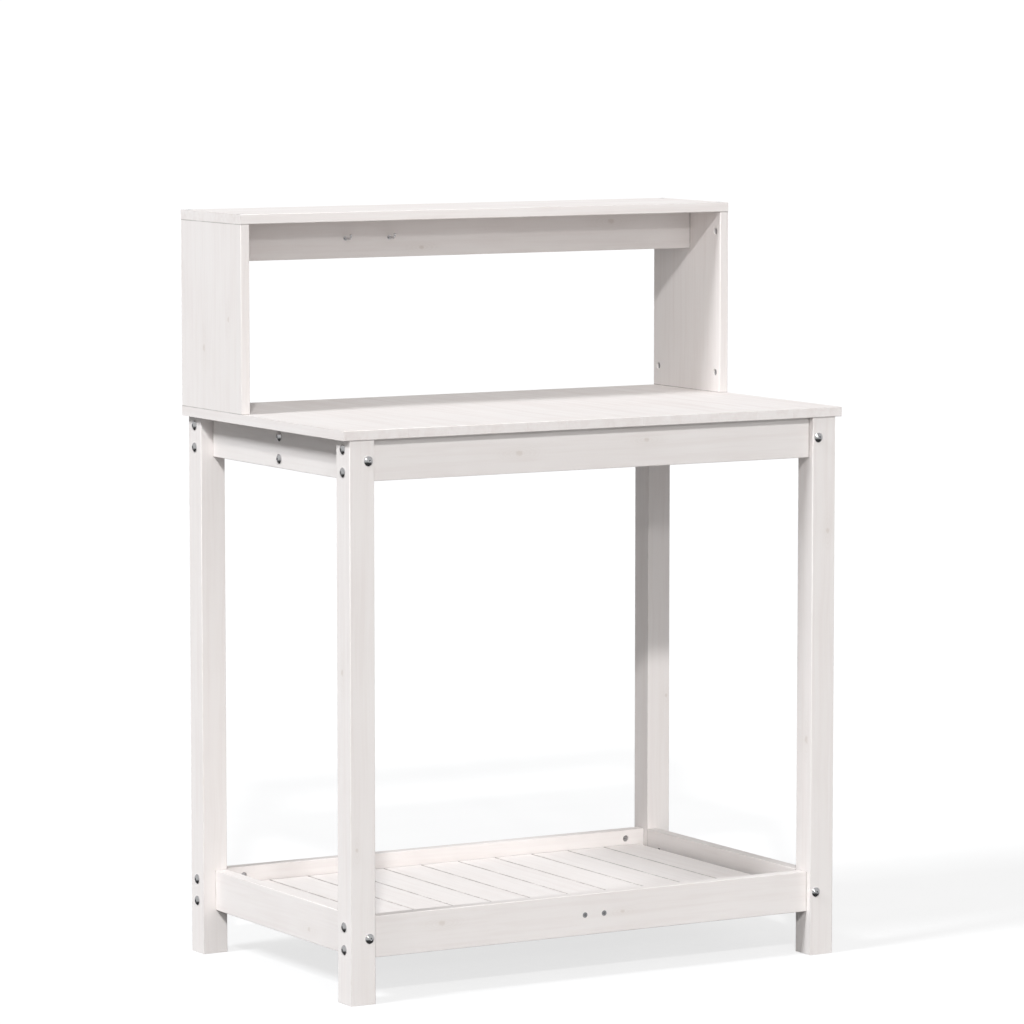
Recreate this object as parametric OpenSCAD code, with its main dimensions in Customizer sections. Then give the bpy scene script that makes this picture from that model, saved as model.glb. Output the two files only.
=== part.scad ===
// Potting bench of painted pine: a leg frame with a work surface, a hutch with a hanging rail
// above it and a planked tray below it. It is bolted together with barrel nuts.
// Millimetres, +Z up, front towards -Y, origin on the floor under the middle of the bench.

/* [Bench] */
// Overall width, across the tabletop
bench_w = 825; // [700:5:1000]
// Overall depth of the tabletop, front to back
bench_d = 500; // [440:5:620]
// Overall height, floor to the top of the shelf
bench_h = 1095; // [1020:5:1250]
// Height of the work surface above the floor
worktop_z = 808; // [740:1:850]

/* [Timber] */
// Side of the square leg posts
leg = 39; // [36:1:50]
// Height of the aprons and tray rails
rail_h = 59; // [56:1:80]
// Thickness of the aprons and rails
rail_t = 19; // [18:1:24]
// Thickness of the tabletop, shelf, hutch panels and planks
board_t = 14; // [13:1:20]
// Radius of the eased long edges
edge_r = 1; // [0.5:0.5:3]

/* [Frame] */
// How far the tabletop reaches past the legs at each side
overhang_x = 9.5; // [8:0.5:20]
// How far the tabletop reaches past the legs at front and back
overhang_y = 2.5; // [0:0.5:10]
// Depth of the side rails' outer faces behind the legs' outer faces
side_recess = 20; // [17:1:20]
// Half the height between the two bolts of a long rail
bolt_rise = 16; // [14:1:18]

/* [Tray] */
// Height of the tray rails' lower edges above the floor
tray_z = 64; // [40:2:200]
// Depth of the tray floor below the rails' upper edges
tray_sink = 23; // [20:1:25]
// Gap between the outermost planks and the side rails
plank_side_gap = 10.6; // [8:0.1:16]
// Number of tray planks
plank_count = 11; // [9:2:11]
// Open joint between neighbouring planks
plank_gap = 1.6; // [1:0.1:4]

/* [Hutch] */
// Depth of the hutch, front to back
hutch_d = 190; // [170:5:230]
// Height of the hanging rail
hang_rail_h = 58; // [50:1:80]
// Position of the first tool hook, from the middle
hook_1_x = -197; // [-290:1:-160]
// Position of the second tool hook, from the middle
hook_2_x = -124; // [-140:1:290]
// How far a tool hook stands out from the hanging rail
hook_out = 18; // [16:1:26]
// Radius of a tool hook's bend
hook_r = 4; // [3:0.5:6]
// Thickness of a tool hook's wire
hook_wire_d = 3.2; // [2.6:0.2:4]

/* [Fasteners] */
// Thread diameter of the frame bolts
bolt_d = 6; // [5:1:6]
// Diameter of the domed bolt heads
bolt_head_d = 14; // [12:1:14]
// Diameter of the barrel nuts
nut_d = 10; // [9:1:10]
// Distance of a barrel nut from the end of its rail
nut_inset = 33; // [28:1:36]

/* [Hidden] */
$fn = 40;
past = 1;

// Frame
leg_h = worktop_z - board_t;
leg_x = bench_w / 2 - overhang_x - leg / 2;
leg_y = bench_d / 2 - overhang_y - leg / 2;
side_rail_x = leg_x + leg / 2 - side_recess - rail_t / 2;
long_rail_l = 2 * leg_x - leg;
side_rail_l = 2 * leg_y - leg;
apron_mid_z = leg_h - rail_h / 2;
tray_mid_z = tray_z + rail_h / 2;
rail_levels = [apron_mid_z, tray_mid_z];
rail_inner_y = leg_y - rail_t / 2;

// Bolts and barrel nuts
bolt_hole_d = bolt_d + 1;
thread_gap = 0.1;
bolt_past_nut = 8;
bore_past_nut = 12;
bolt_reach = nut_inset + bolt_past_nut;
bolt_bore = nut_inset + bore_past_nut;
head_rim = 1;
head_dome = 3;
hex_flats = 4;
hex_depth = 2.5;
nut_l = 14;
nut_fit = 0.2;
nut_bore_end = 0.5;
nut_bore = rail_t / 2 + nut_l / 2 + nut_bore_end;
slot_w = 1.2;
slot_depth = 1.5;

// Wood screws
screw_d = 4;
small_screw_d = 3.5;
screw_clearance = 0.5;
screw_fit = 0.1;
screw_tip = 4;
screw_point_d = 0.6;
seat_ease = 0.4;
pilot_end = 0.5;
pan_head_h = 2;
recess_w = 0.9;

// Tray
floor_top = tray_z + rail_h - tray_sink;
floor_z = floor_top - board_t / 2;
plank_pitch = (long_rail_l - 2 * plank_side_gap + plank_gap) / plank_count;
plank_w = plank_pitch - plank_gap;
plank_end_gap = 0.5;
plank_l = 2 * (rail_inner_y - plank_end_gap);
plank_mid = (plank_count + 1) / 2;
bearer = 19;
bearer_nut_gap = 16;
bearer_l = long_rail_l - 2 * (nut_inset + bearer_nut_gap);
bearer_y = rail_inner_y - bearer / 2;
bearer_z = floor_top - board_t - bearer / 2;
end_screw_x = 16;
end_screw_l = 40;
bearer_screw_l = 30;
// Counted in planks from the middle
bearer_screw_at = [1.5, 3.5];
plank_screw_l = 30;
plank_screw_edge = 12;
plank_screw_limit = bearer_l / 2 - plank_screw_edge;

// Hutch
hutch_front_y = bench_d / 2 - hutch_d;
hutch_mid_y = bench_d / 2 - hutch_d / 2;
panel_x = bench_w / 2 - board_t / 2;
panel_h = bench_h - board_t - worktop_z;
shelf_under_z = bench_h - board_t;
hang_rail_l = bench_w - 2 * board_t;
hang_rail_z = shelf_under_z - hang_rail_h / 2;
hutch_nut_inset = 30;
hutch_nut_l = 10;
hutch_nut_bore = board_t / 2 + hutch_nut_l / 2 + nut_bore_end;
hutch_bore_past_nut = 10;
hutch_bore = hutch_nut_inset + hutch_bore_past_nut;
hutch_bolt_past_nut = 6;
hutch_bolt_edge = 14;
hutch_bolt_l = board_t + hutch_nut_inset + hutch_bolt_past_nut;
hutch_bolt_y = [hutch_front_y + hutch_bolt_edge, bench_d / 2 - hutch_bolt_edge];
flush_head_d = 12;
flush_head_h = 3;
dowel_d = 8;
dowel_l = 28;
dowel_in_panel = 9;
dowel_fit = 0.2;
dowel_bore_end = 1;
dowel_bore = dowel_l - dowel_in_panel + dowel_bore_end;
dowel_rise = 14.5;

// Hooks
hook_z = hang_rail_z;
hook_shank_l = 14;
hook_collar_d = 6;
hook_collar_t = 1.6;
hook_tip_l = 1.5;
hook_ball_extra = 0.8;
hang_rail_front_y = hutch_mid_y - rail_t / 2;

// Brackets between the aprons and the tabletop
bracket_w = 16;
bracket_leg = 20;
bracket_t = 2;
bracket_x = 200;
bracket_screw_l = 12;
bracket_screw_at = 12;
// Each place is the rail's Y and the side of the rail that the bracket stands on
bracket_rails = [[-leg_y, 1], [0, 1], [leg_y, -1]];

SIDES = [-1, 1];
PLANKS = [for (i = [1:plank_count]) str("tray_plank_", i)];

paint = [0.90, 0.89, 0.87];
zinc = [0.72, 0.72, 0.73];
beech = [0.82, 0.70, 0.52];

// ---- timber shapes, centred on the origin ----

// Rectangle w by h with its corners eased
module eased_section(w, h) {
  square([w, h - 2 * edge_r], center = true);
  square([w - 2 * edge_r, h], center = true);
  for (x = SIDES, y = SIDES)
    translate([x * (w / 2 - edge_r), y * (h / 2 - edge_r)])
      circle(edge_r);
}

module board_x(l, d, h) {
  rotate([90, 0, 90])
    linear_extrude(l, center = true)
      eased_section(d, h);
}

module board_y(l, w, h) {
  rotate([90, 0, 0])
    linear_extrude(l, center = true)
      eased_section(w, h);
}

module board_z(l, w, d) {
  linear_extrude(l, center = true)
    eased_section(w, d);
}

// ---- holes, centred on the origin ----

module hole_x(l, d) {
  rotate([0, 90, 0])
    cylinder(h = l, d = d, center = true);
}

module hole_y(l, d) {
  rotate([90, 0, 0])
    cylinder(h = l, d = d, center = true);
}

// ---- fasteners, head upwards with the shank along -Z ----

module hex_socket(top) {
  translate([0, 0, top - hex_depth])
    linear_extrude(hex_depth + past)
      circle(d = hex_flats / cos(30), $fn = 6);
}

// Low dome of a given radius and height standing on z = 0
module dome(r, h) {
  ball_r = (r * r + h * h) / (2 * h);
  intersection() {
    translate([0, 0, h - ball_r])
      sphere(ball_r, $fn = 96);
    cylinder(h = h, r = r + past);
  }
}

// Bolt with a domed head whose underside is at z = 0
module dome_bolt(l) {
  difference() {
    union() {
      translate([0, 0, -l])
        cylinder(h = l, d = bolt_d);
      cylinder(h = head_rim, d = bolt_head_d);
      translate([0, 0, head_rim])
        dome(bolt_head_d / 2, head_dome);
    }
    hex_socket(head_rim + head_dome);
  }
}

// Bolt with a flat head that ends flush at z = 0
module flush_bolt(l) {
  difference() {
    union() {
      translate([0, 0, -l])
        cylinder(h = l, d = bolt_d);
      translate([0, 0, -flush_head_h])
        cylinder(h = flush_head_h, d1 = bolt_d, d2 = flush_head_d);
    }
    hex_socket(0);
  }
}

// Seat for a flat head and its shank, opening at z = 0
module flush_seat(l, d, head_d, head_h) {
  translate([0, 0, -l])
    cylinder(h = l + past, d = d);
  translate([0, 0, -head_h])
    cylinder(h = head_h + past, d1 = d, d2 = head_d + (head_d - d) * past / head_h + seat_ease);
}

// Countersunk wood screw whose head is flush at z = 0
module wood_screw(l, d) {
  head_h = d / 2;
  difference() {
    union() {
      translate([0, 0, screw_tip - l])
        cylinder(h = l - screw_tip, d = d);
      translate([0, 0, -l])
        cylinder(h = screw_tip, d1 = screw_point_d, d2 = d);
      translate([0, 0, -head_h])
        cylinder(h = head_h, d1 = d, d2 = 2 * d);
    }
    for (a = [0, 90])
      rotate([0, 0, a])
        cube([d, recess_w, 2 * head_h], center = true);
  }
}

module screw_seat(l, d) {
  flush_seat(l, d + screw_clearance, 2 * d, d / 2);
}

module pilot(l, d) {
  translate([0, 0, -l])
    cylinder(h = l, d = d + 2 * screw_fit);
}

// Barrel nut along Z with its thread along X, slotted at the top
module barrel_nut(l) {
  difference() {
    cylinder(h = l, d = nut_d, center = true);
    hole_x(nut_d + past, bolt_d + thread_gap);
    translate([0, 0, l / 2])
      cube([nut_d + past, slot_w, 2 * slot_depth], center = true);
  }
}

// ---- legs ----

module leg_post(sx, sy) {
  color(paint)
    difference() {
      translate([sx * leg_x, sy * leg_y, leg_h / 2])
        board_z(leg_h, leg, leg);
      for (z = rail_levels) {
        for (s = SIDES)
          translate([sx * leg_x, sy * leg_y, z + s * bolt_rise])
            hole_x(leg + past, bolt_hole_d);
        translate([sx * side_rail_x, sy * leg_y, z])
          hole_y(leg + past, bolt_hole_d);
      }
    }
}

// ---- long rails, along X ----

// Bolt and barrel nut holes in both ends; the nuts go in from the side that open_side points to
module long_rail(y, z, open_side) {
  difference() {
    translate([0, y, z])
      board_x(long_rail_l, rail_t, rail_h);
    for (sx = SIDES, s = SIDES)
      translate([0, y, z + s * bolt_rise]) {
        translate([sx * (long_rail_l / 2 - bolt_bore / 2), 0, 0])
          hole_x(bolt_bore + past, bolt_hole_d);
        translate([sx * (long_rail_l / 2 - nut_inset), 0, 0])
          translate([0, open_side * (rail_t - nut_bore + past) / 2, 0])
            hole_y(nut_bore + past, nut_d + nut_fit);
      }
  }
}

// Pilot holes for the screws of the brackets that stand against a long rail
module bracket_pilots(y, open_side) {
  for (sx = SIDES)
    translate([sx * bracket_x, y + open_side * rail_t / 2, leg_h - bracket_screw_at])
      rotate([-90 * open_side, 0, 0])
        pilot(bracket_screw_l, small_screw_d);
}

module apron(sy) {
  color(paint)
    difference() {
      long_rail(sy * leg_y, apron_mid_z, -sy);
      bracket_pilots(sy * leg_y, -sy);
    }
}

module middle_rail() {
  color(paint)
    difference() {
      long_rail(0, apron_mid_z, 1);
      bracket_pilots(0, 1);
    }
}

module tray_long_rail(sy) {
  color(paint)
    difference() {
      long_rail(sy * leg_y, tray_mid_z, -sy);
      place_end_screws(sy)
        screw_seat(rail_t + past, screw_d);
      place_bearer_screws(sy)
        pilot(bearer_screw_l, screw_d);
    }
}

// ---- side rails, along Y ----

module side_rail(sx, z) {
  difference() {
    translate([sx * side_rail_x, 0, z])
      board_y(side_rail_l, rail_t, rail_h);
    for (sy = SIDES)
      translate([sx * side_rail_x, 0, z]) {
        translate([0, sy * (side_rail_l / 2 - bolt_bore / 2), 0])
          hole_y(bolt_bore + past, bolt_hole_d);
        translate([-sx * (rail_t - nut_bore + past) / 2, sy * (side_rail_l / 2 - nut_inset), 0])
          hole_x(nut_bore + past, nut_d + nut_fit);
      }
  }
}

module side_apron(sx) {
  color(paint)
    difference() {
      side_rail(sx, apron_mid_z);
      for (s = SIDES)
        translate([sx * side_rail_x, 0, apron_mid_z + s * bolt_rise])
          hole_x(rail_t + past, bolt_hole_d);
    }
}

module tray_side_rail(sx) {
  color(paint)
    side_rail(sx, tray_mid_z);
}

// ---- tabletop ----

module tabletop() {
  color(paint)
    difference() {
      translate([0, 0, worktop_z - board_t / 2])
        board_x(bench_w, bench_d, board_t);
      for (sx = SIDES, y = hutch_bolt_y)
        translate([sx * panel_x, y, leg_h])
          mirror([0, 0, 1])
            flush_seat(board_t + past, bolt_hole_d, flush_head_d, flush_head_h);
      place_bracket_screws_up()
        pilot(bracket_screw_l, small_screw_d);
    }
}

// ---- tray floor ----

function plank_x(i) = (i - plank_mid) * plank_pitch;

// A plank's screws, moved inwards where the bearers end short of it
function plank_screw_x(i) = min(max(plank_x(i), -plank_screw_limit), plank_screw_limit);

module place_plank_screws(i) {
  for (sy = SIDES)
    translate([plank_screw_x(i), sy * bearer_y, bearer_z - bearer / 2])
      mirror([0, 0, 1])
        children();
}

// The screws halfway between two planks' own screws
module place_bearer_screws(sy) {
  for (sx = SIDES, n = bearer_screw_at)
    translate([sx * n * plank_pitch, sy * (bearer_y - bearer / 2), bearer_z])
      rotate([90 * sy, 0, 0])
        children();
}

module tray_plank(i) {
  color(paint)
    difference() {
      translate([plank_x(i), 0, floor_z])
        board_y(plank_l, plank_w, board_t);
      place_plank_screws(i)
        pilot(plank_screw_l + pilot_end, small_screw_d);
      if (i == plank_mid)
        for (sy = SIDES)
          place_end_screws(sy)
            pilot(end_screw_l + pilot_end, screw_d);
    }
}

module tray_bearer(sy) {
  color(paint)
    difference() {
      translate([0, sy * bearer_y, bearer_z])
        board_x(bearer_l, bearer, bearer);
      for (i = [1:plank_count])
        place_plank_screws(i)
          screw_seat(bearer + past, small_screw_d);
      place_bearer_screws(sy)
        screw_seat(bearer + past, screw_d);
    }
}

// ---- hutch ----

// The two dowel places at one end of the hanging rail, at a given distance from the middle
module place_dowels(sx, x) {
  for (s = SIDES)
    translate([sx * x, hutch_mid_y, hang_rail_z + s * dowel_rise])
      children();
}

module hutch_panel(sx) {
  color(paint)
    difference() {
      translate([sx * panel_x, hutch_mid_y, worktop_z + panel_h / 2])
        board_z(panel_h, board_t, hutch_d);
      for (y = hutch_bolt_y, end = SIDES)
        translate([sx * panel_x, y, worktop_z + panel_h / 2]) {
          translate([0, 0, end * (panel_h - hutch_bore) / 2])
            cylinder(h = hutch_bore + past, d = bolt_hole_d, center = true);
          translate([0, 0, end * (panel_h / 2 - hutch_nut_inset)])
            translate([-sx * (board_t - hutch_nut_bore + past) / 2, 0, 0])
              hole_x(hutch_nut_bore + past, nut_d + nut_fit);
        }
      place_dowels(sx, (hang_rail_l + dowel_in_panel) / 2)
        hole_x(dowel_in_panel + past, dowel_d + dowel_fit);
    }
}

module top_shelf() {
  color(paint)
    difference() {
      translate([0, hutch_mid_y, bench_h - board_t / 2])
        board_x(bench_w, hutch_d, board_t);
      for (sx = SIDES, y = hutch_bolt_y)
        translate([sx * panel_x, y, bench_h])
          flush_seat(board_t + past, bolt_hole_d, flush_head_d, flush_head_h);
    }
}

module hanging_rail() {
  color(paint)
    difference() {
      translate([0, hutch_mid_y, hang_rail_z])
        board_x(hang_rail_l, rail_t, hang_rail_h);
      for (sx = SIDES)
        place_dowels(sx, (hang_rail_l - dowel_bore) / 2)
          hole_x(dowel_bore + past, dowel_d + dowel_fit);
      for (x = [hook_1_x, hook_2_x])
        translate([x, hang_rail_front_y + hook_shank_l / 2, hook_z])
          hole_y(hook_shank_l + past, hook_wire_d + 2 * screw_fit);
    }
}

// ---- tool hooks ----

// Square hook: screwed in behind a small collar, straight out, then up to a short ball tip
module hook(x) {
  bend_y = hook_out - hook_r;
  color(zinc)
    translate([x, hang_rail_front_y, hook_z])
      mirror([0, 1, 0]) {
        translate([0, (bend_y - hook_shank_l) / 2, 0])
          hole_y(bend_y + hook_shank_l, hook_wire_d);
        translate([0, hook_collar_t / 2, 0])
          hole_y(hook_collar_t, hook_collar_d);
        translate([0, bend_y, hook_r])
          rotate([90, 90, 90])
            rotate_extrude(angle = 90)
              translate([hook_r, 0])
                circle(d = hook_wire_d);
        translate([0, hook_out, hook_r])
          cylinder(h = hook_tip_l, d = hook_wire_d);
        translate([0, hook_out, hook_r + hook_tip_l])
          sphere(d = hook_wire_d + hook_ball_extra);
      }
}

// ---- fastener groups ----

module leg_bolts_side() {
  color(zinc)
    for (sx = SIDES, sy = SIDES, z = rail_levels, s = SIDES)
      translate([sx * (leg_x + leg / 2), sy * leg_y, z + s * bolt_rise])
        rotate([0, 90 * sx, 0])
          dome_bolt(leg + bolt_reach);
}

module leg_bolts_front_rear() {
  color(zinc)
    for (sx = SIDES, sy = SIDES, z = rail_levels)
      translate([sx * side_rail_x, sy * (leg_y + leg / 2), z])
        rotate([-90 * sy, 0, 0])
          dome_bolt(leg + bolt_reach);
}

module middle_rail_bolts() {
  color(zinc)
    for (sx = SIDES, s = SIDES)
      translate([sx * (side_rail_x + rail_t / 2), 0, apron_mid_z + s * bolt_rise])
        rotate([0, 90 * sx, 0])
          dome_bolt(rail_t + bolt_reach);
}

module long_rail_nuts(y, z, open_side) {
  for (sx = SIDES, s = SIDES)
    translate([sx * (long_rail_l / 2 - nut_inset), y, z + s * bolt_rise])
      rotate([-90 * open_side, 0, 0])
        barrel_nut(nut_l);
}

module rail_barrel_nuts() {
  color(zinc) {
    for (sy = SIDES, z = rail_levels)
      long_rail_nuts(sy * leg_y, z, -sy);
    long_rail_nuts(0, apron_mid_z, 1);
    for (sx = SIDES, sy = SIDES, z = rail_levels)
      translate([sx * side_rail_x, sy * (side_rail_l / 2 - nut_inset), z])
        rotate([0, -90 * sx, 0])
          rotate([0, 0, 90])
            barrel_nut(nut_l);
  }
}

module hutch_bolts() {
  color(zinc)
    for (sx = SIDES, y = hutch_bolt_y) {
      translate([sx * panel_x, y, leg_h])
        mirror([0, 0, 1])
          flush_bolt(hutch_bolt_l);
      translate([sx * panel_x, y, bench_h])
        flush_bolt(hutch_bolt_l);
    }
}

module hutch_barrel_nuts() {
  color(zinc)
    for (sx = SIDES, y = hutch_bolt_y, end = SIDES)
      translate([sx * panel_x, y, worktop_z + panel_h / 2 + end * (panel_h / 2 - hutch_nut_inset)])
        rotate([0, -90 * sx, 0])
          barrel_nut(hutch_nut_l);
}

module hanging_rail_dowels() {
  color(beech)
    for (sx = SIDES)
      place_dowels(sx, (hang_rail_l - dowel_l) / 2 + dowel_in_panel)
        hole_x(dowel_l, dowel_d);
}

module place_end_screws(sy) {
  for (s = SIDES)
    translate([s * end_screw_x, sy * (leg_y + rail_t / 2), floor_z])
      rotate([-90 * sy, 0, 0])
        children();
}

module tray_end_screws() {
  color(zinc)
    for (sy = SIDES)
      place_end_screws(sy)
        wood_screw(end_screw_l, screw_d);
}

module bearer_screws() {
  color(zinc)
    for (sy = SIDES)
      place_bearer_screws(sy)
        wood_screw(bearer_screw_l, screw_d);
}

module plank_screws() {
  color(zinc)
    for (i = [1:plank_count])
      place_plank_screws(i)
        wood_screw(plank_screw_l, small_screw_d);
}

// ---- brackets under the tabletop ----

module place_brackets() {
  for (rail = bracket_rails, sx = SIDES)
    translate([sx * bracket_x, rail[0] + rail[1] * rail_t / 2, leg_h])
      scale([1, rail[1], 1])
        children();
}

// Angle bracket: one leg down the rail, one along the tabletop, a screw hole in each
module tabletop_brackets() {
  hole_d = small_screw_d + screw_clearance;
  color(zinc)
    place_brackets()
      difference() {
        union() {
          translate([-bracket_w / 2, 0, -bracket_leg])
            cube([bracket_w, bracket_t, bracket_leg]);
          translate([-bracket_w / 2, 0, -bracket_t])
            cube([bracket_w, bracket_leg, bracket_t]);
        }
        translate([0, bracket_t / 2, -bracket_screw_at])
          hole_y(bracket_t + past, hole_d);
        translate([0, bracket_screw_at, -bracket_t / 2])
          cylinder(h = bracket_t + past, d = hole_d, center = true);
      }
}

module pan_screw() {
  translate([0, 0, screw_tip - bracket_screw_l])
    cylinder(h = bracket_screw_l - screw_tip, d = small_screw_d);
  translate([0, 0, -bracket_screw_l])
    cylinder(h = screw_tip, d1 = screw_point_d, d2 = small_screw_d);
  dome(small_screw_d, pan_head_h);
}

module place_bracket_screws_up() {
  place_brackets()
    translate([0, bracket_screw_at, -bracket_t])
      mirror([0, 0, 1])
        children();
}

module bracket_screws() {
  color(zinc) {
    place_bracket_screws_up()
      pan_screw();
    place_brackets()
      translate([0, bracket_t, -bracket_screw_at])
        rotate([-90, 0, 0])
          pan_screw();
  }
}

// ---- the bench ----

leg_post(-1, -1);  // leg_front_left
leg_post(1, -1);  // leg_front_right
leg_post(-1, 1);  // leg_rear_left
leg_post(1, 1);  // leg_rear_right
apron(-1);  // apron_front
apron(1);  // apron_rear
side_apron(-1);  // apron_left
side_apron(1);  // apron_right
middle_rail();
tabletop();
tray_long_rail(-1);  // tray_rail_front
tray_long_rail(1);  // tray_rail_rear
tray_side_rail(-1);  // tray_rail_left
tray_side_rail(1);  // tray_rail_right
tray_bearer(-1);  // tray_bearer_front
tray_bearer(1);  // tray_bearer_rear
hutch_panel(-1);  // hutch_panel_left
hutch_panel(1);  // hutch_panel_right
top_shelf();
hanging_rail();
hook(hook_1_x);  // hook_1
hook(hook_2_x);  // hook_2
leg_bolts_side();
leg_bolts_front_rear();
middle_rail_bolts();
rail_barrel_nuts();
hutch_bolts();
hutch_barrel_nuts();
hanging_rail_dowels();
tray_end_screws();
bearer_screws();
plank_screws();
tabletop_brackets();
bracket_screws();
for (i = [1:plank_count])
  tray_plank(i);
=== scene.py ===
import math

import bpy
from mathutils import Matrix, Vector


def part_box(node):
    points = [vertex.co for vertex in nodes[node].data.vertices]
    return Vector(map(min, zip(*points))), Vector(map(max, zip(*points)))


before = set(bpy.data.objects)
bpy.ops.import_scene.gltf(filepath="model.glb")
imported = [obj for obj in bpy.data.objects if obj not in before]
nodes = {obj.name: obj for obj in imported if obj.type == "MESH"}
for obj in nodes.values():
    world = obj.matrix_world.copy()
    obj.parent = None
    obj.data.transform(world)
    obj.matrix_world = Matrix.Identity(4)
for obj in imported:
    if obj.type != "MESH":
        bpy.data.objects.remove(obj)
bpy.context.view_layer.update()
scene = bpy.context.scene


# ---- camera, at the photograph's viewing angle ----

# Fitted to the bench's corners in the photograph, in metres, degrees and millimetres of lens
CAM_AT = (-3.7980, -6.5342, 1.4251)
CAM_YAW = 30.172
CAM_PITCH = 5.836
CAM_LENS = 182.33
SENSOR = 36
NEAREST, FARTHEST = 0.1, 6000


def make_camera():
    data = bpy.data.cameras.new("camera")
    data.lens = CAM_LENS
    data.sensor_width = SENSOR
    data.clip_start = NEAREST
    data.clip_end = FARTHEST
    camera = bpy.data.objects.new("camera", data)
    camera.location = CAM_AT
    camera.rotation_euler = (math.radians(90 - CAM_PITCH), 0, math.radians(-CAM_YAW))
    scene.collection.objects.link(camera)
    scene.camera = camera


# ---- node helpers ----

class Nodes:
    """A short way to build a node tree: values may be numbers, tuples or sockets."""

    def __init__(self, tree):
        self.tree = tree

    def add(self, kind, settings=None, inputs=None):
        node = self.tree.nodes.new(kind)
        for name, value in (settings or {}).items():
            setattr(node, name, value)
        for name, value in (inputs or {}).items():
            self.put(node.inputs[name], value)
        return node

    def put(self, socket, value):
        if isinstance(value, bpy.types.NodeSocket):
            self.tree.links.new(value, socket)
        else:
            socket.default_value = value

    def math(self, op, a, b=0.0, clamp=False):
        node = self.add("ShaderNodeMath", {"operation": op, "use_clamp": clamp})
        self.put(node.inputs[0], a)
        if op not in ("ABSOLUTE", "SQRT", "SINE"):
            self.put(node.inputs[1], b)
        return node.outputs[0]

    def remap(self, value, low, high, to_low=0.0, to_high=1.0):
        node = self.add(
            "ShaderNodeMapRange",
            {"interpolation_type": "SMOOTHSTEP"},
            {"Value": value, "From Min": low, "From Max": high, "To Min": to_low, "To Max": to_high},
        )
        return node.outputs["Result"]

    def vector(self, op, a, b=(0, 0, 0)):
        node = self.add("ShaderNodeVectorMath", {"operation": op})
        self.put(node.inputs[0], a)
        self.put(node.inputs[1], b)
        return node.outputs["Value" if op == "LENGTH" else "Vector"]

    def noise(self, vector, scale, detail=2.0, rough=0.5):
        node = self.add(
            "ShaderNodeTexNoise",
            None,
            {"Vector": vector, "Scale": scale, "Detail": detail, "Roughness": rough},
        )
        return node.outputs["Fac"]

    def mix(self, factor, a, b):
        node = self.add("ShaderNodeMix", {"data_type": "RGBA"})
        self.put(node.inputs[0], factor)
        self.put(node.inputs[6], a)
        self.put(node.inputs[7], b)
        return node.outputs[2]

    def xyz(self, vector):
        return self.add("ShaderNodeSeparateXYZ", None, {0: vector}).outputs

    def join(self, x, y, z):
        return self.add("ShaderNodeCombineXYZ", None, {0: x, 1: y, 2: z}).outputs[0]


def new_material(name):
    material = bpy.data.materials.new(name)
    material.use_nodes = True
    tree = material.node_tree
    tree.nodes.clear()
    n = Nodes(tree)
    shader = n.add("ShaderNodeBsdfPrincipled")
    output = n.add("ShaderNodeOutputMaterial")
    tree.links.new(shader.outputs[0], output.inputs[0])
    return material, n, shader


# ---- painted pine ----

PAINT = (0.773, 0.740, 0.723, 1)
PAINT_THIN = (0.712, 0.664, 0.644, 1)
PAINT_WORN = (0.670, 0.618, 0.570, 1)
KNOT = (0.560, 0.495, 0.450, 1)
# Painted shade: the dark line in the gap where two boards' ends are shut together
SEAM_SHADE = (0.250, 0.228, 0.212, 1)

# How much of each colour shows
KNOT_SHOW = 0.45
SWIRL_SHOW = 0.16
WORN_SHOW = 0.34
LANE_SHOW = 0.12
SEAM_SHADE_SHOW = 0.80

# The grain's noise cells per metre, from broad to fine, and how far each is drawn out along the board
CLOUD_SCALE = 6.0
BAND_SCALE = 55.0
BAND_DRAW = 0.05
RING_SCALE = 150.0
RING_DRAW = 0.035
BRUSH_SCALE = 420.0
BRUSH_DRAW = 0.05
FIBRE_SCALE = 900.0
FIBRE_DRAW = 0.02

# How far the growth rings wander sideways, in metres, and the noise that bends them
RING_WANDER = 0.018
WANDER_SCALE = 4.0
WANDER_DRAW = 1.6

# Where in its noise, which runs from 0 to 1, each part of the grain begins and is full
RING_WINDOW = (0.42, 0.68)
BAND_WINDOW = (0.44, 0.60)
CLOUD_WINDOW = (0.35, 0.7)
PATCH_WINDOW = (0.50, 0.72)

# How much each part darkens the paint, and how much it stands up
RING_TONE, RING_RELIEF = 0.34, 0.55
FIBRE_TONE, FIBRE_RELIEF = 0.22, 0.25
CLOUD_TONE = 0.22
BRUSH_RELIEF = 0.30
KNOT_SINK = 0.5
LANE_SINK = 0.8

# Steps in the noise that make each board and each stave another piece of wood
BOARD_STEP = 3.71
STAVE_STEP = 1.37
BRUSH_STEP = 9.0
PATCH_STEP = 2.3

# Lines, painted shade in shut joints and wear along edges: full within the first distance, gone past the
# second, in metres
LANE_FULL, LANE_GONE = 0.0002, 0.0009
SEAM_FULL, SEAM_GONE = 0.0002, 0.0017
WEAR_FULL, WEAR_GONE = 0.0004, 0.0030

# A knot: how uneven its outline is, the noise of that, how far it is drawn out along the board, and
# where its full colour ends, in knot radii
KNOT_UNEVEN = 0.8
UNEVEN_SCALE = 160.0
KNOT_DRAW = 0.7
KNOT_CORE = 0.35

# The swirl round a knot: its draw, the radians of its ripples per metre, their strength on top of an
# even part, and its inner and outer edge in knot radii
SWIRL_DRAW = 0.30
RIPPLE = 2600.0
RIPPLE_PART, EVEN_PART = 0.30, 0.60
SWIRL_FULL, SWIRL_GONE = 0.9, 3.2

# Where the paint is rubbed in patches, and where the painted shade in a shut joint is broken
PATCH_SCALE = 38.0
BREAK_SCALE = 45.0
BREAK_WINDOW = (0.30, 0.60)
BREAK_FAINTEST = 0.55

PAINT_ROUGH = 0.52
ROUGH_WINDOW = (0.3, 0.7)
CLOUD_ROUGH = 0.12
WORN_ROUGH = 0.14
PAINT_BUMP = 0.55
PAINT_RELIEF = 0.00022
PAINT_IOR = 1.48
PAINT_GLOSS = 0.12


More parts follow.
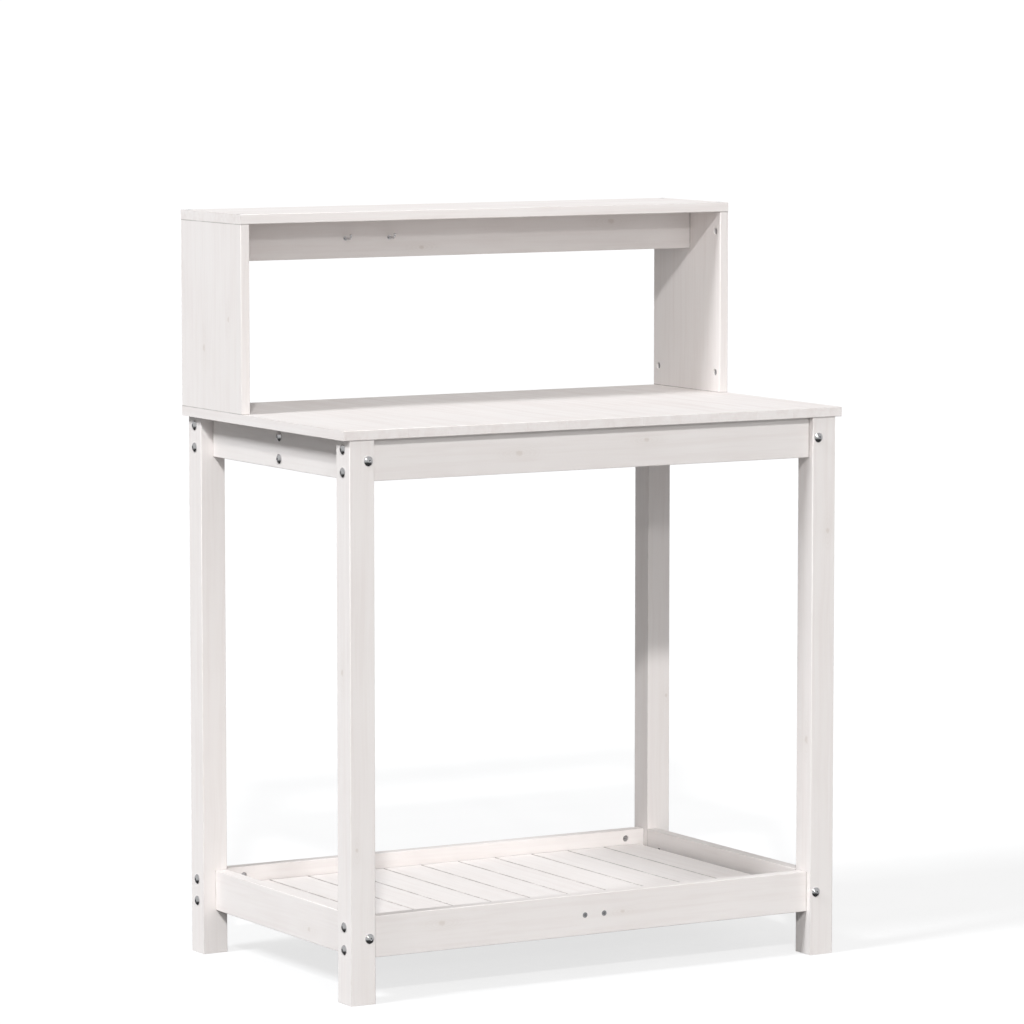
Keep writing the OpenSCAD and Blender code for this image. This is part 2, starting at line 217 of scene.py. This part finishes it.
def stave_lanes(n, place, width, seed):
    """For an edge-glued panel: the noise shift of each stave, and the lines between staves."""
    at = n.math("DIVIDE", n.math("SUBTRACT", n.xyz(place)[0], STAVE_PHASE), width)
    lane = n.math("FLOOR", at)
    shift = n.math("ADD", n.math("MULTIPLY", lane, STAVE_STEP), seed * BOARD_STEP)
    inside = n.math("SUBTRACT", at, lane)
    near = n.math("MINIMUM", inside, n.math("SUBTRACT", 1.0, inside))
    return shift, n.remap(n.math("MULTIPLY", near, width), LANE_FULL, LANE_GONE, 1.0, 0.0)


def drawn_out(n, length, draw, cross, thick):
    """A place for noise whose cells are long along the board."""
    return n.join(n.math("MULTIPLY", length, draw), cross, thick)


def pine_grain(n, local, axes, shift, cloud_shift, seed):
    """Growth rings, broad bands, fibres, clouds and brush strokes of one board."""
    length, cross, thick = axes
    deep = n.math("ADD", thick, shift)
    wander = n.noise(drawn_out(n, length, WANDER_DRAW, cross, shift), WANDER_SCALE)
    bent = n.math("ADD", cross, n.math("MULTIPLY", n.math("SUBTRACT", wander, 0.5), RING_WANDER))
    brushed = n.math("ADD", thick, seed + BRUSH_STEP)
    ring_at = drawn_out(n, length, RING_DRAW, bent, deep)
    return {
        "rings": n.noise(ring_at, RING_SCALE, detail=3.0, rough=0.55),
        "bands": n.noise(drawn_out(n, length, BAND_DRAW, bent, deep), BAND_SCALE),
        "fibres": n.noise(drawn_out(n, length, FIBRE_DRAW, cross, deep), FIBRE_SCALE, rough=0.6),
        "clouds": n.noise(n.vector("ADD", local, (cloud_shift, 0, 0)), CLOUD_SCALE, detail=3.0),
        "brush": n.noise(drawn_out(n, length, BRUSH_DRAW, cross, brushed), BRUSH_SCALE),
    }


def grain_tone(n, grain, streaks):
    """How thin the paint looks over the grain, from 0 to 1."""
    rings = n.math("MULTIPLY", n.remap(grain["rings"], *RING_WINDOW), RING_TONE)
    fibres = n.math("MULTIPLY", grain["fibres"], FIBRE_TONE)
    bands = n.math("MULTIPLY", n.remap(grain["bands"], *BAND_WINDOW), streaks)
    clouds = n.math("MULTIPLY", n.remap(grain["clouds"], *CLOUD_WINDOW), CLOUD_TONE)
    tone = n.math("ADD", n.math("ADD", rings, fibres), bands)
    return n.math("ADD", tone, clouds, clamp=True)


def stretched(along, amount):
    """A scale that draws a round mark out along the board."""
    return tuple(amount if axis == along else 1 for axis in "xyz")


def knot_marks(n, place, along, knots):
    """The knots and the swirls of closer grain round them, each from 0 to 1."""
    knot_all = None
    swirl_all = None
    for at_x, at_y, at_z, radius in knots:
        away = n.vector("SUBTRACT", place, (at_x, at_y, at_z))
        uneven = n.math("SUBTRACT", n.noise(away, UNEVEN_SCALE), 0.5)
        spread = n.math("MULTIPLY", uneven, radius * KNOT_UNEVEN)
        oval = n.vector("LENGTH", n.vector("MULTIPLY", away, stretched(along, KNOT_DRAW)))
        knot = n.remap(n.math("ADD", oval, spread), radius * KNOT_CORE, radius, 1.0, 0.0)
        halo = n.vector("LENGTH", n.vector("MULTIPLY", away, stretched(along, SWIRL_DRAW)))
        ripple = n.math("SINE", n.math("MULTIPLY", n.math("ADD", halo, spread), RIPPLE))
        around = n.remap(halo, radius * SWIRL_FULL, radius * SWIRL_GONE, 1.0, 0.0)
        waves = n.math("ADD", n.math("MULTIPLY", ripple, RIPPLE_PART), EVEN_PART)
        swirl = n.math("MULTIPLY", around, waves)
        knot_all = knot if knot_all is None else n.math("MAXIMUM", knot_all, knot)
        swirl_all = swirl if swirl_all is None else n.math("MAXIMUM", swirl_all, swirl)
    return knot_all, swirl_all


def face_gaps(n, local, half):
    """The distance to the nearer of the board's two faces along each axis."""
    return [n.math("SUBTRACT", size, n.math("ABSOLUTE", at)) for at, size in zip(n.xyz(local), half)]


def arris_wear(n, local, gaps, seed):
    """Patches along the arrises, where the paint is thin and a little rubbed."""
    smallest = n.math("MINIMUM", n.math("MINIMUM", gaps[0], gaps[1]), gaps[2])
    largest = n.math("MAXIMUM", n.math("MAXIMUM", gaps[0], gaps[1]), gaps[2])
    total = n.math("ADD", n.math("ADD", gaps[0], gaps[1]), gaps[2])
    middle = n.math("SUBTRACT", n.math("SUBTRACT", total, smallest), largest)
    near_arris = n.remap(middle, WEAR_FULL, WEAR_GONE, 1.0, 0.0)
    patch_at = n.vector("ADD", local, (seed * PATCH_STEP, 0, 0))
    patches = n.noise(patch_at, PATCH_SCALE, detail=3.0, rough=0.6)
    return n.math("MULTIPLY", near_arris, n.remap(patches, *PATCH_WINDOW))


def shut_joint_shade(n, local, gap):
    """The broken dark line, painted shade of the gap, where a board's end is shut against its neighbour.
    """
    shut = n.remap(gap, SEAM_FULL, SEAM_GONE, 1.0, 0.0)
    broken = n.remap(n.noise(local, BREAK_SCALE), *BREAK_WINDOW, BREAK_FAINTEST, 1.0)
    return n.math("MULTIPLY", n.math("MULTIPLY", shut, broken), SEAM_SHADE_SHOW)


def painted_pine(node, along, seed, knots, lanes, seams, streaks):
    """Satin white paint on planed pine.

    along is the board's length axis; knots are (x, y, z, radius) in metres; lanes is the width of the
    staves of an edge-glued panel, which lie side by side in X, or 0; seams names the axes whose two
    end faces are shut against other boards, where a dark line of painted shade marks the joint;
    streaks is how strongly broad bands of grain show.
    """
    material, n, shader = new_material(node + "_paint")
    low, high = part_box(node)
    place = n.add("ShaderNodeTexCoord").outputs["Object"]
    local = n.vector("SUBTRACT", place, tuple((low + high) / 2))
    x, y, z = n.xyz(local)
    axes = {"x": (x, y, z), "y": (y, x, z), "z": (z, x, y)}[along]
    gaps = face_gaps(n, local, (high - low) / 2)

    shift, lane_edge = stave_lanes(n, place, lanes, seed) if lanes else (seed * BOARD_STEP, None)
    cloud_shift = seed if lanes else seed * BOARD_STEP
    grain = pine_grain(n, local, axes, shift, cloud_shift, seed)
    knot, swirl = knot_marks(n, place, along, knots)
    worn = arris_wear(n, local, gaps, seed)

    colour = n.mix(grain_tone(n, grain, streaks), PAINT, PAINT_THIN)
    height = n.math("MULTIPLY", grain["rings"], RING_RELIEF)
    height = n.math("ADD", height, n.math("MULTIPLY", grain["fibres"], FIBRE_RELIEF))
    height = n.math("ADD", height, n.math("MULTIPLY", grain["brush"], BRUSH_RELIEF))
    if knots:
        colour = n.mix(n.math("MULTIPLY", swirl, SWIRL_SHOW), colour, KNOT)
        colour = n.mix(n.math("MULTIPLY", knot, KNOT_SHOW), colour, KNOT)
        height = n.math("SUBTRACT", height, n.math("MULTIPLY", knot, KNOT_SINK))
    colour = n.mix(n.math("MULTIPLY", worn, WORN_SHOW), colour, PAINT_WORN)
    if lanes:
        colour = n.mix(n.math("MULTIPLY", lane_edge, LANE_SHOW), colour, PAINT_WORN)
        height = n.math("SUBTRACT", height, n.math("MULTIPLY", lane_edge, LANE_SINK))
    # painted shade of the gap in each shut joint, broken here and there
    for axis in seams:
        colour = n.mix(shut_joint_shade(n, local, gaps["xyz".index(axis)]), colour, SEAM_SHADE)

    rough = n.math("MULTIPLY", n.remap(grain["clouds"], *ROUGH_WINDOW), CLOUD_ROUGH)
    rough = n.math("ADD", PAINT_ROUGH, rough)
    rough = n.math("ADD", rough, n.math("MULTIPLY", worn, WORN_ROUGH))
    relief = {"Strength": PAINT_BUMP, "Distance": PAINT_RELIEF, "Height": height}
    n.put(shader.inputs["Base Color"], colour)
    n.put(shader.inputs["Roughness"], rough)
    n.put(shader.inputs["Normal"], n.add("ShaderNodeBump", None, relief).outputs[0])
    shader.inputs["IOR"].default_value = PAINT_IOR
    shader.inputs["Specular IOR Level"].default_value = PAINT_GLOSS
    return material


# ---- metal and bare wood ----

# The fittings that show, and the duller, rougher ones set into the wood or under the tabletop; their
# darker base colour is partly painted shade of the holes and the underside they sit in
BRIGHT_ZINC = {
    "base": (0.66, 0.66, 0.67, 1),
    "dull": (0.48, 0.48, 0.49, 1),
    "roughness": 0.08,
    "scale": 1500.0,
}
SHADED_DULL_ZINC = {
    "base": (0.50, 0.50, 0.51, 1),
    "dull": (0.34, 0.34, 0.35, 1),
    "roughness": 0.22,
    "scale": 1100.0,
}
ZINC_PATCH_SCALE = 90.0
ZINC_PATCH_WINDOW = (0.40, 0.68)
ZINC_PATCH_SHOW = 0.5
ZINC_BUMP = 0.15
ZINC_RELIEF = 0.00004
SCRATCH_DRAW = 0.12
SCRATCH_COARSER = 0.8
ZINC_PATCH_ROUGH = 0.05
ZINC_FINE_ROUGH = 0.03
FINE_PART, SCRATCH_PART = 0.5, 0.5

BEECH_LIGHT = (0.62, 0.42, 0.24, 1)
BEECH_DARK = (0.50, 0.31, 0.16, 1)
FLECK_SCALE = 700.0
FLECK_DRAW = 0.08
FLECK_WINDOW = (0.40, 0.65)
BEECH_ROUGH = 0.55
FLECK_ROUGH = 0.15
BEECH_BUMP = 0.3
BEECH_RELIEF = 0.0001


def plated_steel(name, base, dull, roughness, scale):
    """Zinc plate: bright, with a faint spangle, fine scratches and dull patches."""
    material, n, shader = new_material(name)
    place = n.add("ShaderNodeTexCoord").outputs["Object"]
    patches = n.noise(place, ZINC_PATCH_SCALE, detail=3.0, rough=0.6)
    patches = n.remap(patches, *ZINC_PATCH_WINDOW)
    fine = n.noise(place, scale, rough=0.6)
    scratch_at = n.vector("MULTIPLY", place, (1.0, 1.0, SCRATCH_DRAW))
    scratch = n.noise(scratch_at, scale * SCRATCH_COARSER)
    colour = n.mix(n.math("MULTIPLY", patches, ZINC_PATCH_SHOW), base, dull)
    rough = n.math("ADD", roughness, n.math("MULTIPLY", patches, ZINC_PATCH_ROUGH))
    uneven = n.math("MULTIPLY", n.math("SUBTRACT", fine, 0.5), ZINC_FINE_ROUGH)
    rough = n.math("ADD", rough, uneven)
    scratches = n.math("MULTIPLY", scratch, SCRATCH_PART)
    height = n.math("ADD", n.math("MULTIPLY", fine, FINE_PART), scratches)
    relief = {"Strength": ZINC_BUMP, "Distance": ZINC_RELIEF, "Height": height}
    bump = n.add("ShaderNodeBump", None, relief)
    n.put(shader.inputs["Base Color"], colour)
    n.put(shader.inputs["Roughness"], rough)
    n.put(shader.inputs["Normal"], bump.outputs[0])
    shader.inputs["Metallic"].default_value = 1.0
    return material


def bare_beech(name):
    """Unpainted beech, with short flecks along the dowels, which lie in X."""
    material, n, shader = new_material(name)
    place = n.add("ShaderNodeTexCoord").outputs["Object"]
    x, y, z = n.xyz(place)
    fleck_at = n.join(n.math("MULTIPLY", x, FLECK_DRAW), y, z)
    flecks = n.noise(fleck_at, FLECK_SCALE, detail=3.0, rough=0.6)
    colour = n.mix(n.remap(flecks, *FLECK_WINDOW), BEECH_LIGHT, BEECH_DARK)
    rough = n.math("ADD", BEECH_ROUGH, n.math("MULTIPLY", flecks, FLECK_ROUGH))
    relief = {"Strength": BEECH_BUMP, "Distance": BEECH_RELIEF, "Height": flecks}
    bump = n.add("ShaderNodeBump", None, relief)
    n.put(shader.inputs["Base Color"], colour)
    n.put(shader.inputs["Roughness"], rough)
    n.put(shader.inputs["Normal"], bump.outputs[0])
    return material


# ---- the bench's materials ----

# board, or the start of several boards' names: the axis its length lies on
ALONG = {
    "leg": "z",
    "hutch_panel": "z",
    "apron_front": "x",
    "apron_rear": "x",
    "middle_rail": "x",
    "tray_rail_front": "x",
    "tray_rail_rear": "x",
    "tray_bearer": "x",
    "top_shelf": "x",
    "hanging_rail": "x",
    "apron_left": "y",
    "apron_right": "y",
    "tray_rail_left": "y",
    "tray_rail_right": "y",
    "tray_plank": "y",
    "tabletop": "y",
}

# Width of the staves that the tabletop is glued from, and the X of one joint between them, in metres
STAVE = 0.064
STAVE_PHASE = 0.008

# Broad bands of grain show on the wide panels and hardly on the narrow boards
WIDE = ("tabletop", "top_shelf")
WIDE_STREAKS = 0.42
NARROW_STREAKS = 0.14

# board: the axes on which both of its end faces are shut against other boards, with painted shade in the
# joints
SHADED_SEAMS = {
    "apron_front": "x",
    "apron_rear": "x",
    "apron_left": "y",
    "apron_right": "y",
    "middle_rail": "x",
    "tray_rail_front": "x",
    "tray_rail_rear": "x",
    "tray_rail_left": "y",
    "tray_rail_right": "y",
    "tray_plank": "xy",
    "hutch_panel": "z",
    "hanging_rail": "x",
}

# board: how many knots show on each of its faces in front; where they lie is made up by a rule
KNOTTY = {
    "hutch_panel_left": {"left": 2},
    "leg_front_left": {"front": 1, "left": 1},
    "leg_front_right": {"front": 1, "left": 1},
    "leg_rear_right": {"front": 1},
    "apron_front": {"front": 2},
    "tray_rail_front": {"front": 2},
    "tray_rail_left": {"left": 1},
    "hanging_rail": {"front": 2},
}

# The rule: each board, face and knot steps on through the shares of a face's length and height, which
# keeps a margin free along the face's edges. Radii are in metres, as is the length of a long board.
FACE_STEP = 17
KNOT_MARGIN = 0.15
SMALLEST_KNOT = 0.0030
KNOT_GROWTH = 0.0030
LONG_BOARD = 0.5
ACROSS_STEPS = (0.6180, 0.4142, 0.13)
UP_STEPS = (0.7321, 0.2361, 0.29)
RADIUS_STEPS = (0.3247, 0.5701, 0.0)

# Fittings: the ones that show, the ones set into the wood or out of sight, which are darker partly as
# painted shade, and the wooden dowels
BRIGHT = (
    "leg_bolts_side",
    "leg_bolts_front_rear",
    "middle_rail_bolts",
    "hutch_bolts",
    "hook_1",
    "hook_2",
)
SHADED_DULL = (
    "rail_barrel_nuts",
    "hutch_barrel_nuts",
    "tabletop_brackets",
    "bracket_screws",
    "bearer_screws",
    "plank_screws",
    "tray_end_screws",
)
BEECH = ("hanging_rail_dowels",)


def on_face(face, low, high, across, up):
    """The point on a board's side or underside that lies across and up from its low corner."""
    if face in ("left", "right"):
        return (low.x if face == "left" else high.x, low.y + across, low.z + up)
    if face in ("front", "back"):
        return (low.x + across, low.y if face == "front" else high.y, low.z + up)
    return (low.x + across, low.y + up, low.z)


def share(seed, k, steps):
    """A share from 0 to 1 that jumps about from board to board and from knot to knot."""
    by_board, by_knot, start = steps
    return (seed * by_board + k * by_knot + start) % 1.0


def knots_on(face, count, low, high, seed):
    """Some knots on one face of a board, spread over it by a rule."""
    size = high - low
    wide = size.y if face in ("left", "right") else size.x
    tall = size.y if face == "under" else size.z
    room = 1 - 2 * KNOT_MARGIN
    places = []
    for k in range(count):
        across = KNOT_MARGIN + room * share(seed, k, ACROSS_STEPS)
        up = KNOT_MARGIN + room * share(seed, k, UP_STEPS)
        radius = SMALLEST_KNOT + KNOT_GROWTH * share(seed, k, RADIUS_STEPS)
        places.append((*on_face(face, low, high, across * wide, up * tall), radius))
    return places


def knots_for(name, low, high, seed):
    """A board's knots, on its faces in front that have any and on one face behind."""
    places = []
    for step, (face, count) in enumerate(KNOTTY.get(name, {}).items(), start=1):
        places += knots_on(face, count, low, high, seed + step * FACE_STEP)
    size = high - low
    if size.z < min(size.x, size.y):
        behind = "under"
    elif ALONG_OF[name] == "y" or name == "hutch_panel_right":
        behind = "right"
    else:
        behind = "back"
    return places + knots_on(behind, 2 if max(size) > LONG_BOARD else 1, low, high, seed)


def look_up(table, name):
    """The entry whose key is the longest start of name, or None."""
    best = max((key for key in table if name.startswith(key)), key=len, default=None)
    return table[best] if best else None


ALONG_OF = {name: look_up(ALONG, name) for name in nodes if name not in BRIGHT + SHADED_DULL + BEECH}


WELD_GAP = 0.000001
END_EASING = 0.0004
SHARP = 60


def ease_ends(piece):
    """Close the board's mesh and round its sawn ends a little."""
    weld = piece.modifiers.new("closed_faces", "WELD")
    weld.merge_threshold = WELD_GAP
    ease = piece.modifiers.new("eased_ends", "BEVEL")
    ease.width = END_EASING
    ease.segments = 2
    ease.limit_method = "ANGLE"
    ease.angle_limit = math.radians(SHARP)
    ease.harden_normals = True


def dress():
    """Give every node its material, and ease the boards' sawn ends."""
    bright = plated_steel("bright_zinc", **BRIGHT_ZINC)
    # the fittings in holes and under the tabletop: a duller zinc, darker partly as painted shade
    dull = plated_steel("shaded_dull_zinc", **SHADED_DULL_ZINC)
    beech = bare_beech("beech")
    for count, name in enumerate(sorted(nodes)):
        piece = nodes[name]
        seed = count + 1
        if name in ALONG_OF:
            low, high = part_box(name)
            knots = knots_for(name, low, high, seed)
            lanes = STAVE if name == "tabletop" else 0.0
            seams = look_up(SHADED_SEAMS, name) or ""
            streaks = WIDE_STREAKS if name in WIDE else NARROW_STREAKS
            material = painted_pine(name, ALONG_OF[name], seed, knots, lanes, seams, streaks)
        elif name in BEECH:
            material = beech
        else:
            material = bright if name in BRIGHT else dull
        piece.data.materials.clear()
        piece.data.materials.append(material)
        if name in ALONG_OF:
            ease_ends(piece)


# ---- floor and light ----

FLOOR_HALF = 2000.0
FLOOR_GAP = 0.0005
FLOOR_MOTTLE = 5.0
MOTTLE_DARK = 0.96
MOTTLE_WINDOW = (0.3, 0.7)
FLOOR_ROUGH = 0.9
FLOOR_GLOW = 0.73
SEEN_FLOOR = 0.26
BOUNCE_FLOOR = 0.28
SKY_LIGHT = 0.315
SKY_SEEN = 1.0
GLOSS_LOW = 0.05
GLOSS_HIGH = 0.62
GLOSS_FLOOR = -0.60
GLOSS_WALL = -0.12

# name: degrees left of straight ahead, degrees up, degrees across, strength as a share of white,
# tint, whether glossy surfaces mirror it
SUNS = {
    "key": (30.0, 33.5, 3.0, 0.52, (1.0, 1.0, 1.0), True),
    "side": (84.0, 44.0, 12.0, 0.775, (0.95, 0.975, 1.0), True),
    "fill": (16.0, 17.5, 3.0, 0.12, (1.0, 1.0, 1.0), True),
    "front": (5.0, 8.0, 80.0, 0.285, (1.0, 1.0, 1.0), False),
    "back": (200.0, 2.0, 50.0, 0.15, (1.0, 1.0, 1.0), False),
}


def make_floor(name, level, shade, glow, seen):
    """A large level sheet. One is only seen; the other only lights the bench from below."""
    mesh = bpy.data.meshes.new(name)
    corners = ((-1, -1), (1, -1), (1, 1), (-1, 1))
    mesh.from_pydata([(x * FLOOR_HALF, y * FLOOR_HALF, 0) for x, y in corners], [], [(0, 1, 2, 3)])
    floor = bpy.data.objects.new(name, mesh)
    floor.location.z = level
    floor.visible_camera = seen
    floor.visible_diffuse = not seen
    floor.visible_glossy = False
    floor.visible_shadow = not seen
    scene.collection.objects.link(floor)
    material, n, shader = new_material(name + "_paper")
    place = n.add("ShaderNodeTexCoord").outputs["Object"]
    mottle = n.remap(n.noise(place, FLOOR_MOTTLE), *MOTTLE_WINDOW)
    light = (shade, shade, shade, 1)
    dark = (shade * MOTTLE_DARK, shade * MOTTLE_DARK, shade * MOTTLE_DARK, 1)
    n.put(shader.inputs["Base Color"], n.mix(mottle, light, dark))
    shader.inputs["Roughness"].default_value = FLOOR_ROUGH
    shader.inputs["Specular IOR Level"].default_value = 0.0
    shader.inputs["Emission Color"].default_value = (1, 1, 1, 1)
    shader.inputs["Emission Strength"].default_value = glow
    mesh.materials.append(material)


def make_sun(name, left, up, across, strength, tint, mirrored):
    data = bpy.data.lights.new(name, "SUN")
    data.angle = math.radians(across)
    data.energy = math.pi * strength
    data.color = tint
    light = bpy.data.objects.new(name, data)
    turn = math.radians(left)
    rise = math.radians(up)
    source = Vector((-math.sin(turn) * math.cos(rise), -math.cos(turn) * math.cos(rise), math.sin(rise)))
    light.rotation_euler = source.to_track_quat("Z", "Y").to_euler()
    light.visible_glossy = mirrored
    scene.collection.objects.link(light)


def make_light():
    """A white room: even light on paint, and a dark floor below it in what the metal mirrors."""
    world = bpy.data.worlds.new("studio")
    world.use_nodes = True
    n = Nodes(world.node_tree)
    background = world.node_tree.nodes["Background"]
    background.inputs["Color"].default_value = (1, 1, 1, 1)
    ray = n.add("ShaderNodeLightPath").outputs
    height = n.xyz(n.add("ShaderNodeTexCoord").outputs["Generated"])[2]
    mirrored = n.remap(height, GLOSS_FLOOR, GLOSS_WALL, GLOSS_LOW, GLOSS_HIGH)
    gloss = n.math("MULTIPLY", ray["Is Glossy Ray"], n.math("SUBTRACT", mirrored, SKY_LIGHT))
    seen = n.math("MULTIPLY", ray["Is Camera Ray"], SKY_SEEN - SKY_LIGHT)
    n.put(background.inputs["Strength"], n.math("ADD", n.math("ADD", seen, gloss), SKY_LIGHT))
    scene.world = world
    for name, setting in SUNS.items():
        make_sun(name, *setting)
    scene.view_settings.view_transform = "Standard"
    scene.view_settings.look = "None"


make_camera()
make_floor("floor", -FLOOR_GAP, SEEN_FLOOR, FLOOR_GLOW, True)
make_floor("floor_bounce", -2 * FLOOR_GAP, BOUNCE_FLOOR, 0.0, False)
make_light()
dress()
